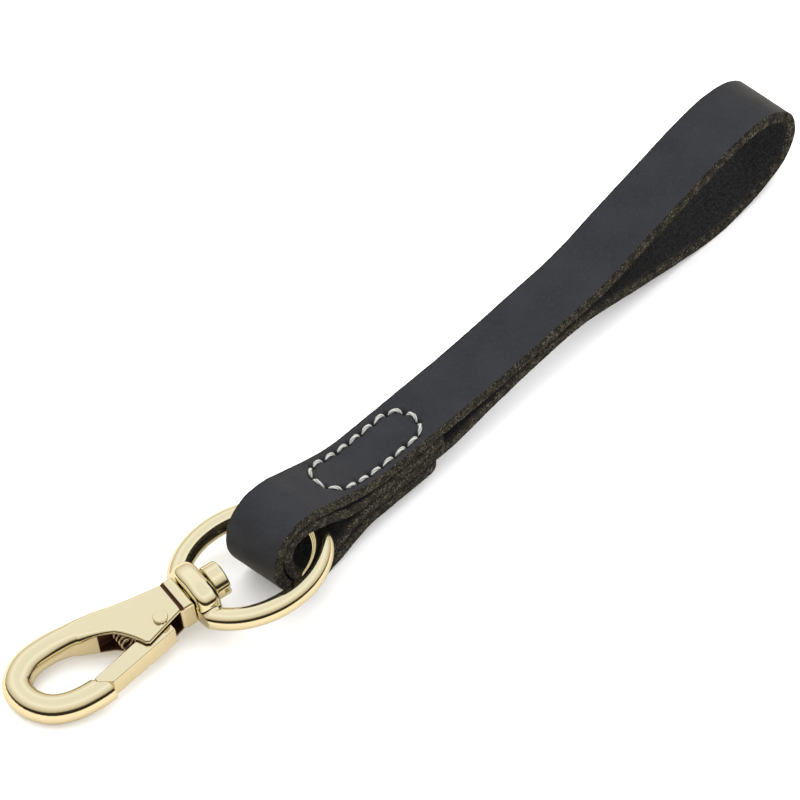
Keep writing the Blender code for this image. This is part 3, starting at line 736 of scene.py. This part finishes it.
def barrel(x, y, z):
    """A drum along x with round ends, wider than it is high and rather square."""
    wide = np.abs(y / BARREL_HALF_WIDTH) ** BARREL_SQUARENESS
    high = np.abs(z / BARREL_HALF_HEIGHT) ** BARREL_SQUARENESS
    reach = np.maximum(wide + high, 1e-9) ** (1 / BARREL_SQUARENESS)
    outside = (reach - 1) * np.hypot(y, z) / reach
    half = (BARREL_BACK - BARREL_FRONT) / 2
    return prism(outside, x - BARREL_FRONT - half, half, BARREL_ROUNDING)


def ring_and_barrel(x, y, z):
    """The ring and its barrel, with z counted from the swivel axis."""
    wire = np.maximum(oval_wire(x, y, z + PIN_RISE), x - BARREL_BACK + 0.1 * MM)
    shape = soft_union(wire, barrel(x, y, z), BARREL_BLEND)
    bore = np.maximum(np.hypot(y, z) - PIN_RADIUS - FIT_GAP, PIN_HEAD_FRONT - x)
    room_front = PIN_HEAD_FRONT - PIN_HEAD_ROOM
    head_room = drum(x, y, z, room_front, BARREL_FRONT, PIN_HEAD_RADIUS + FIT_GAP, 0)
    return soft_cut(soft_cut(shape, bore, CUT_EASE), head_room, CUT_EASE)


def build_bow(gold):
    reach_x = BOW_HALF_LENGTH + BOW_WIRE
    reach_y = BOW_HALF_WIDTH + BOW_WIRE
    low = (-reach_x, -reach_y, -BARREL_HALF_HEIGHT)
    high = (reach_x, reach_y, BARREL_HALF_HEIGHT)
    mesh = solid_mesh("swivel_ring", ring_and_barrel, low, high, METAL_CELL)
    place = HOOK_FRAME @ Matrix.Translation((0, 0, PIN_RISE)) @ Matrix.Rotation(BOW_ROLL, 4, "X")
    add_piece("swivel_ring", mesh, place, "bow", ["bow_ring"], gold)


# ---------------------------------------------------------------- swivel pin

def slotted_pin(x, y, z):
    height = z - PIN_RISE
    head_back = BARREL_FRONT - FIT_GAP
    head = drum(x, y, height, PIN_HEAD_FRONT, head_back, PIN_HEAD_RADIUS, PIN_HEAD_ROUNDING)
    shaft = drum(x, y, height, PIN_HEAD_FRONT + PIN_SLOT_DEPTH, PIN_END, PIN_RADIUS, CUT_EASE)
    slot = np.maximum(np.abs(height) - PIN_SLOT_WIDTH / 2, x - PIN_HEAD_FRONT - PIN_SLOT_DEPTH)
    return soft_cut(soft_union(head, shaft, CUT_EASE), slot, CUT_EASE)


def build_pin(gold):
    low = (PIN_HEAD_FRONT, -PIN_HEAD_RADIUS, PIN_RISE - PIN_HEAD_RADIUS)
    high = (PIN_END, PIN_HEAD_RADIUS, PIN_RISE + PIN_HEAD_RADIUS)
    mesh = solid_mesh("slotted_pin", slotted_pin, low, high, SMALL_CELL)
    add_piece("slotted_pin", mesh, HOOK_FRAME, "hook", ["swivel_pin"], gold)


# ---------------------------------------------------------------- snap body

def body_outline():
    """Outline of the flat part of the body: neck, two cheeks and the root of the spine."""
    collar = [(COLLAR_FRONT, COLLAR_HALF_WIDTH), (GROOVE_FRONT, COLLAR_HALF_WIDTH)]
    cheek = in_mm((20.4, 4.5), (30.4, 7.6))
    rim = in_mm((31.3, 7.0), (33.2, 3.1), (35.3, 0.3), (38.2, -1.6), (42.5, -3.2))
    opening = smooth_path(rim, (0.35, -0.94), (0.97, -0.25), 1.0 * MM)
    spine = in_mm((43.5, -4.8), (42.5, -8.5), (36.0, -7.3), (31.0, -6.3), (27.0, -5.5),
                  (20.4, -4.4))
    other_side = [(x, -y) for x, y in reversed(collar)]
    return collar + cheek + opening.tolist() + spine + other_side


def crook_path():
    """Middle of the crook, from the spine round the end to the nose."""
    return smooth_path(CROOK_POINTS, CROOK_START_WAY, CROOK_END_WAY, 1.2 * MM)


def plate_share(x, y):
    """1 at the cheeks, falling to 0 along the spine; 0 on the rest of the crook."""
    start = CROOK_POINTS[0][0]
    share = ease((CROOK_ROUND_X - x) / (CROOK_ROUND_X - start))
    return share * (1 - ease((x - start) / CROOK_FADE) * ease(y / CROOK_FADE - 1))


def body_shape(x, y, z):
    """A plate whose edges grow rounder along the spine, until it is the round wire of the crook."""
    narrowing = SPINE_NARROWING * np.minimum(1, 2 * plate_share(x, y))
    band = distance_to_path(x, y, crook_path()) - CROOK_HALF_WIDTH + narrowing
    flat = soft_union(polygon_distance(x, y, body_outline()), band, SPINE_BLEND)
    share = plate_share(x, y)
    half = CROOK_HALF_HEIGHT + (BODY_THICKNESS / 2 - CROOK_HALF_HEIGHT) * share
    rounding = CROOK_HALF_HEIGHT + (BODY_ROUNDING - CROOK_HALF_HEIGHT) * share
    end_x, end_y = CROOK_POINTS[-1]
    past_nose = (x - end_x) * NOSE_FACING[0] + (y - end_y) * NOSE_FACING[1]
    near_nose = (y > NOSE_LOW) & (x > SLOT_BACK) & (x < end_x + NOSE_LENGTH)
    return np.maximum(prism(flat, z, half, rounding), np.where(near_nose, past_nose, -1))


def gate_outline():
    """Outline of the gate, from its tail along the outer edge to the nose and back."""
    return in_mm((23.7, 7.2), (42.2, 10.9), (45.1, 8.6), (45.1, 7.4),
                 (36.0, 5.4), (31.0, 4.2), (27.0, 1.4), (23.4, 1.0))


def gate_slot(x, y, z):
    """The slot between the cheeks, open towards the gate, with z counted from the swivel axis."""
    slot = np.maximum(np.abs(z) - SLOT_THICKNESS / 2, SLOT_FLOOR - y)
    return np.maximum(slot, np.maximum(SLOT_FRONT - x, x - SLOT_BACK))


def nose_lap(x, y):
    """Room at the nose for the closed gate, and for its tip to swing in."""
    pivot_x, pivot_y = RIVET_PLACE
    lap = np.maximum(polygon_distance(x, y, gate_outline()) - FIT_GAP, LAP_LOW - y)
    reach = max(math.hypot(px - pivot_x, py - pivot_y) for px, py in gate_outline()) + FIT_GAP
    past_swing = np.maximum(y - SWING_HIGH, SWING_LOW - y)
    swing = np.maximum(np.hypot(x - pivot_x, y - pivot_y) - reach, past_swing)
    return np.maximum(np.minimum(lap, swing), LAP_FRONT - x)


def collar_groove(x, z):
    """The cut on both faces that sets the collar off from the cheeks."""
    across = np.abs(x - GROOVE_FRONT - GROOVE_WIDTH / 2) - GROOVE_WIDTH / 2
    return np.maximum(across, BODY_THICKNESS / 2 - GROOVE_DEPTH - np.abs(z))


def rivet_hole(x, y):
    """The rivet's hole, through the cheeks and the gate."""
    return np.hypot(x - RIVET_PLACE[0], y - RIVET_PLACE[1]) - RIVET_RADIUS - FIT_GAP


def hook_body(x, y, z):
    height = z - PIN_RISE
    shape = body_shape(x, y, height)
    shape = soft_cut(shape, collar_groove(x, height), CRISP_EASE)
    shape = soft_cut(shape, gate_slot(x, y, height), SLOT_EASE)
    shape = soft_cut(shape, nose_lap(x, y), CRISP_EASE)
    bore = np.maximum(np.hypot(y, height) - PIN_RADIUS - PIN_FIT, x - PIN_BORE_END)
    return np.maximum(shape, -np.minimum(bore, rivet_hole(x, y)))


def slot_shade_share(mesh):
    """1 on the walls of the slot and the groove, where painted shade darkens the gold."""
    points = np.empty(len(mesh.vertices) * 3)
    mesh.vertices.foreach_get("co", points)
    x, y, z = points.reshape(-1, 3).T
    height = z - PIN_RISE
    inside = np.minimum(gate_slot(x, y, height) - SLOT_SHADE_MARGIN, collar_groove(x, height))
    return ease(1 - inside / SLOT_SHADE_FADE)


def build_body(gold):
    along, across = zip(*CROOK_POINTS)
    low = (COLLAR_FRONT, min(across) - CROOK_HALF_WIDTH, PIN_RISE - BODY_THICKNESS / 2)
    high = (max(along) + CROOK_HALF_WIDTH, max(across) + CROOK_HALF_WIDTH,
            PIN_RISE + BODY_THICKNESS / 2)
    mesh = solid_mesh("hook_body", hook_body, low, high, METAL_CELL)
    # painted shade: marks the walls of the slot and the groove to be coloured dark brown
    add_values(mesh, "slot_shade", slot_shade_share(mesh))
    add_piece("hook_body", mesh, HOOK_FRAME, "hook", ["snap_body"], gold)


# ---------------------------------------------------------------- gate, rivet and spring

def gate_distance(x, y, z):
    flat = polygon_distance(x, y, gate_outline())
    plate = prism(flat, z - PIN_RISE, GATE_THICKNESS / 2, GATE_ROUNDING)
    return np.maximum(plate, -rivet_hole(x, y))


def build_gate(gold):
    along, across = zip(*gate_outline())
    low = (min(along), min(across), PIN_RISE - GATE_THICKNESS / 2)
    high = (max(along), max(across), PIN_RISE + GATE_THICKNESS / 2)
    mesh = solid_mesh("gate_lever", gate_distance, low, high, SMALL_CELL)
    add_piece("gate_lever", mesh, HOOK_FRAME, "gate", ["gate"], gold)


def rivet_distance(x, y, z):
    x, y, z = x - RIVET_PLACE[0], y - RIVET_PLACE[1], z - PIN_RISE
    seat = BODY_THICKNESS / 2 + RIVET_HEAD_GAP
    head = upright_drum(x, y, np.abs(z), seat, seat + RIVET_HEAD_HEIGHT,
                        RIVET_HEAD_RADIUS, RIVET_HEAD_ROUNDING)
    end = seat + RIVET_OVERLAP
    shaft = upright_drum(x, y, z, -end, end, RIVET_RADIUS, 0.1 * MM)
    return np.minimum(head, shaft)


def build_rivet(gold):
    middle = Vector((*RIVET_PLACE, PIN_RISE))
    height = BODY_THICKNESS / 2 + RIVET_HEAD_GAP + RIVET_HEAD_HEIGHT
    reach = Vector((RIVET_HEAD_RADIUS, RIVET_HEAD_RADIUS, height))
    low = middle - reach
    high = middle + reach
    mesh = solid_mesh("rivet", rivet_distance, low, high, RIVET_CELL)
    add_piece("rivet", mesh, HOOK_FRAME, "hook", ["gate_rivet"], gold)


def build_spring(steel):
    per_turn = 28
    steps = np.arange(SPRING_TURNS * per_turn + 1)
    turn = 2 * math.pi * steps / per_turn
    along = SPRING_START + (SPRING_END - SPRING_START) * steps / steps[-1]
    out = np.stack([np.cos(turn), np.zeros_like(turn), np.sin(turn)], axis=1)
    middle = np.stack([np.full_like(turn, SPRING_X), along, np.full_like(turn, PIN_RISE)], axis=1)
    path = middle + out * SPRING_RADIUS
    way = np.gradient(path, axis=0)
    way /= np.linalg.norm(way, axis=1)[:, None]
    side = np.cross(way, out)
    around = 2 * math.pi * np.arange(10) / 10
    rings = path[:, None] + SPRING_WIRE * spokes(around, out, side)
    mesh = mesh_from_grid("coil_spring", rings, closed=False)
    spring = add_piece("coil_spring", mesh, HOOK_FRAME, "hook", ["gate_spring"], steel)
    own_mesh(spring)


# ---------------------------------------------------------------- materials

class Graph:
    """A few short ways to add nodes to a material."""

    def __init__(self, name):
        self.material = bpy.data.materials.new(name)
        self.material.use_nodes = True
        self.nodes = self.material.node_tree.nodes
        self.links = self.material.node_tree.links
        self.shader = self.nodes["Principled BSDF"]

    def set(self, socket, value):
        if isinstance(value, bpy.types.NodeSocket):
            self.links.new(value, socket)
        else:
            socket.default_value = value

    def shade(self, name, value):
        """Set or link one of the shader's own inputs."""
        self.set(self.shader.inputs[name], value)

    def noise(self, scale, detail, roughness=0.55):
        place = self.nodes.new("ShaderNodeTexCoord")
        texture = self.nodes.new("ShaderNodeTexNoise")
        texture.inputs["Scale"].default_value = scale
        texture.inputs["Detail"].default_value = detail
        texture.inputs["Roughness"].default_value = roughness
        self.links.new(place.outputs["Object"], texture.inputs["Vector"])
        return texture.outputs["Fac"]

    def cells(self, scale):
        place = self.nodes.new("ShaderNodeTexCoord")
        texture = self.nodes.new("ShaderNodeTexVoronoi")
        texture.feature = "DISTANCE_TO_EDGE"
        texture.inputs["Scale"].default_value = scale
        self.links.new(place.outputs["Object"], texture.inputs["Vector"])
        return texture.outputs["Distance"]

    def value(self, name):
        attribute = self.nodes.new("ShaderNodeAttribute")
        attribute.attribute_name = name
        return attribute.outputs["Fac"]

    def ramp(self, factor, low, high, start=0.0, end=1.0):
        """Map a factor between start and end onto low to high."""
        node = self.nodes.new("ShaderNodeMapRange")
        for socket, value in (("Value", factor), ("From Min", start), ("From Max", end),
                              ("To Min", low), ("To Max", high)):
            self.set(node.inputs[socket], value)
        return node.outputs["Result"]

    def mix(self, factor, low, high):
        node = self.nodes.new("ShaderNodeMix")
        node.data_type = "RGBA"
        self.set(node.inputs["Factor"], factor)
        for name, value in (("A", low), ("B", high)):
            linked = isinstance(value, bpy.types.NodeSocket)
            self.set(node.inputs[name], value if linked else (*value, 1))
        return node.outputs["Result"]

    def math(self, operation, a, b):
        node = self.nodes.new("ShaderNodeMath")
        node.operation = operation
        self.set(node.inputs[0], a)
        self.set(node.inputs[1], b)
        return node.outputs["Value"]

    def bump(self, height, distance, strength, below=None):
        node = self.nodes.new("ShaderNodeBump")
        self.set(node.inputs["Strength"], strength)
        node.inputs["Distance"].default_value = distance
        self.set(node.inputs["Height"], height)
        if below is not None:
            self.links.new(below, node.inputs["Normal"])
        return node.outputs["Normal"]


GRAIN_DARK = (0.0080, 0.0088, 0.0125)
GRAIN_PALE = (0.0130, 0.0140, 0.0185)
GRAIN_SPECK = (0.026, 0.027, 0.034)
FLESH_DARK = (0.008, 0.009, 0.009)
FLESH_PALE = (0.028, 0.029, 0.027)
EDGE_DARK = (0.008, 0.007, 0.005)
EDGE_PALE = (0.135, 0.12, 0.085)
# painted shade inside the stitch holes
HOLE_SHADE = (0.003, 0.003, 0.003)
THREAD_DARK = (0.34, 0.335, 0.31)
THREAD_PALE = (0.56, 0.55, 0.52)
# painted shade in the valleys between the plies
THREAD_VALLEY_SHADE = (0.13, 0.125, 0.115)
GOLD_DARK = (0.79, 0.715, 0.49)
GOLD_PALE = (0.81, 0.735, 0.515)
# painted shade for the walls of the slot and the groove
GOLD_SLOT_SHADE = (0.13, 0.06, 0.035)
STEEL_DARK = (0.62, 0.47, 0.33)
STEEL_PALE = (0.85, 0.70, 0.52)
FLOOR_WHITE = (1.0, 1.0, 1.0)
FLOOR_IN_METAL = (0.66, 0.60, 0.50)     # as the polished metal mirrors it


def leather_material():
    """Smooth charcoal grain, dark flesh side, raw, fibrous cut edges and painted shade in the
    stitch holes.
    """
    graph = Graph("charcoal_leather")
    raw = graph.value("raw_edge")
    flesh = graph.value("flesh")
    hole_shade = graph.value("stitch_hole_shade")
    coarse = graph.math("MAXIMUM", raw, flesh)
    mottle = graph.noise(90, 5)
    fine = graph.noise(2300, 2, 0.7)
    grain = graph.mix(graph.ramp(mottle, 0, 1, 0.35, 0.7), GRAIN_DARK, GRAIN_PALE)
    grain = graph.mix(graph.ramp(fine, 0, 0.5, 0.50, 0.75), grain, GRAIN_SPECK)
    fibres = graph.noise(3300, 2, 0.6)
    patches = graph.noise(450, 3, 0.6)
    tone = graph.math("MULTIPLY", graph.ramp(fibres, 0, 1, 0.47, 0.72),
                      graph.ramp(patches, 0.2, 1, 0.38, 0.62))
    cut = graph.mix(tone, EDGE_DARK, EDGE_PALE)
    nap = graph.mix(graph.ramp(graph.noise(2200, 3, 0.7), 0, 1, 0.4, 0.7), FLESH_DARK, FLESH_PALE)
    colour = graph.mix(raw, grain, cut)
    colour = graph.mix(flesh, colour, nap)
    # painted shade darkens the stitch holes
    colour = graph.mix(hole_shade, colour, HOLE_SHADE)
    graph.shade("Base Color", colour)
    rough = graph.ramp(graph.noise(300, 4), 0.50, 0.62)
    graph.shade("Roughness", graph.ramp(coarse, rough, 0.95))
    graph.shade("Specular IOR Level", graph.ramp(coarse, 0.32, 0.1))
    pores = graph.bump(graph.cells(1500), 0.03 * MM, 0.35)
    creases = graph.bump(graph.noise(420, 6), 0.10 * MM, graph.ramp(coarse, 0.25, 0.0), pores)
    fuzz = graph.bump(fibres, 0.30 * MM, graph.ramp(coarse, 0.0, 0.8), creases)
    graph.shade("Normal", fuzz)
    return graph.material


def thread_material():
    graph = Graph("pale_thread")
    valley_shade = graph.value("valley_shade")
    fibre = graph.noise(2500, 3, 0.6)
    ply = graph.mix(fibre, THREAD_DARK, THREAD_PALE)
    # the valleys between the plies get painted shade
    graph.shade("Base Color", graph.mix(valley_shade, ply, THREAD_VALLEY_SHADE))
    graph.shade("Roughness", graph.ramp(fibre, 0.6, 0.8))
    graph.shade("Normal", graph.bump(fibre, 0.06 * MM, 0.6))
    return graph.material


def gold_material():
    """Polished pale gold, not perfectly even, and dull in the slot and the groove, whose walls get
    painted shade.
    """
    graph = Graph("polished_light_gold")
    slot_shade = graph.value("slot_shade")
    bright = graph.mix(graph.noise(60, 3), GOLD_DARK, GOLD_PALE)
    # painted shade: the walls of the slot and the groove are coloured dark brown
    graph.shade("Base Color", graph.mix(slot_shade, bright, GOLD_SLOT_SHADE))
    graph.shade("Metallic", 1.0)
    polish = graph.ramp(graph.noise(500, 4), 0.08, 0.14)
    graph.shade("Roughness", graph.ramp(slot_shade, polish, 0.5))
    ripple = graph.bump(graph.noise(220, 2), 0.02 * MM, 0.15)
    graph.shade("Normal", ripple)
    return graph.material


def steel_material():
    graph = Graph("spring_steel")
    streak = graph.noise(900, 3)
    graph.shade("Base Color", graph.mix(streak, STEEL_DARK, STEEL_PALE))
    graph.shade("Metallic", 1.0)
    graph.shade("Roughness", graph.ramp(streak, 0.22, 0.38))
    graph.shade("Normal", graph.bump(streak, 0.02 * MM, 0.4))
    return graph.material


# ---------------------------------------------------------------- studio

FLOOR_REACH = 3.0
LAMP_PLACE = (0.2, 0.3, 0.9)
LAMP_SIZE = 0.9
LAMP_POWER = 3.0
DAYLIGHT = (1.75, 1.75, 1.75)
BACK_GLOW = 0.30                        # how much lighter it is behind the object than in front
METAL_SEES = (                          # height above the horizon, raised by the glow; colour
    (0.00, (0.020, 0.012, 0.006)),
    (0.16, (0.035, 0.022, 0.012)),
    (0.28, (0.62, 0.55, 0.42)),
    (0.50, (0.84, 0.80, 0.71)),
    (0.75, (1.03, 1.03, 1.01)),
    (0.88, (1.14, 1.14, 1.14)),
    (1.00, (1.00, 1.00, 0.98)))


def add_floor():
    mesh = bpy.data.meshes.new("floor")
    ways = ((-1, -1, 0), (1, -1, 0), (1, 1, 0), (-1, 1, 0))
    mesh.from_pydata([Vector(way) * FLOOR_REACH for way in ways], [], [(0, 1, 2, 3)])
    floor = bpy.data.objects.new("floor", mesh)
    bpy.context.scene.collection.objects.link(floor)
    graph = Graph("floor")
    path = graph.nodes.new("ShaderNodeLightPath")
    colour = graph.mix(path.outputs["Is Glossy Ray"], FLOOR_WHITE, FLOOR_IN_METAL)
    graph.shade("Base Color", colour)
    graph.shade("Roughness", 0.9)
    graph.shade("Specular IOR Level", 0.0)
    mesh.materials.append(graph.material)


def add_lamp():
    """One large, soft light from above, which only the shading shows."""
    light = bpy.data.lights.new("overhead", "AREA")
    light.shape = "SQUARE"
    light.size = LAMP_SIZE
    light.energy = LAMP_POWER
    lamp = bpy.data.objects.new("overhead", light)
    bpy.context.scene.collection.objects.link(lamp)
    lamp.location = LAMP_PLACE
    lamp.rotation_euler = (-Vector(LAMP_PLACE)).to_track_quat("-Z", "Y").to_euler()
    lamp.visible_camera = False
    lamp.visible_glossy = False


def set_world():
    """Even white light; polished metal sees it fade downward into dark on the camera's side."""
    world = bpy.data.worlds.new("studio")
    world.use_nodes = True
    bpy.context.scene.world = world
    nodes = world.node_tree.nodes
    links = world.node_tree.links
    away = Vector((-math.sin(VIEW_AZIMUTH), math.cos(VIEW_AZIMUTH), 0))
    place = nodes.new("ShaderNodeTexCoord")
    height = nodes.new("ShaderNodeVectorMath")
    height.operation = "DOT_PRODUCT"
    height.inputs[1].default_value = away * BACK_GLOW + Vector((0, 0, 1))
    ramp = nodes.new("ShaderNodeValToRGB")
    path = nodes.new("ShaderNodeLightPath")
    mix = nodes.new("ShaderNodeMix")
    mix.data_type = "RGBA"
    links.new(place.outputs["Generated"], height.inputs[0])
    links.new(height.outputs["Value"], ramp.inputs["Fac"])
    stops = ramp.color_ramp.elements
    for stop, (position, colour) in zip([stops[0], stops[1]], METAL_SEES[:2]):
        stop.position = position
        stop.color = (*colour, 1)
    for position, colour in METAL_SEES[2:]:
        stops.new(position).color = (*colour, 1)
    links.new(path.outputs["Is Glossy Ray"], mix.inputs["Factor"])
    mix.inputs["A"].default_value = (*DAYLIGHT, 1)
    links.new(ramp.outputs["Color"], mix.inputs["B"])
    links.new(mix.outputs["Result"], nodes["Background"].inputs["Color"])


def add_camera():
    lens = bpy.data.cameras.new("camera")
    lens.lens = LENS
    lens.sensor_width = SENSOR
    lens.clip_end = 100
    camera = bpy.data.objects.new("camera", lens)
    bpy.context.scene.collection.objects.link(camera)
    turn = Matrix.Rotation(VIEW_AZIMUTH, 4, "Z")
    tilt = Matrix.Rotation(math.pi / 2 - VIEW_ELEVATION, 4, "X")
    roll = Matrix.Rotation(VIEW_ROLL, 4, "Z")
    back = Matrix.Translation((0, 0, VIEW_WIDTH * LENS / SENSOR))
    target = Matrix.Translation(STRAP_FRAME.translation + Vector(VIEW_OFFSET))
    camera.matrix_world = target @ turn @ tilt @ roll @ back
    bpy.context.scene.camera = camera


def set_studio():
    add_floor()
    set_world()
    add_lamp()
    add_camera()
    bpy.context.scene.view_settings.view_transform = "Standard"


# ---------------------------------------------------------------- the whole object

gold = gold_material()
build_strap(leather_material())
build_threads(thread_material())
build_bow(gold)
build_pin(gold)
build_body(gold)
build_gate(gold)
build_rivet(gold)
build_spring(steel_material())
set_studio()
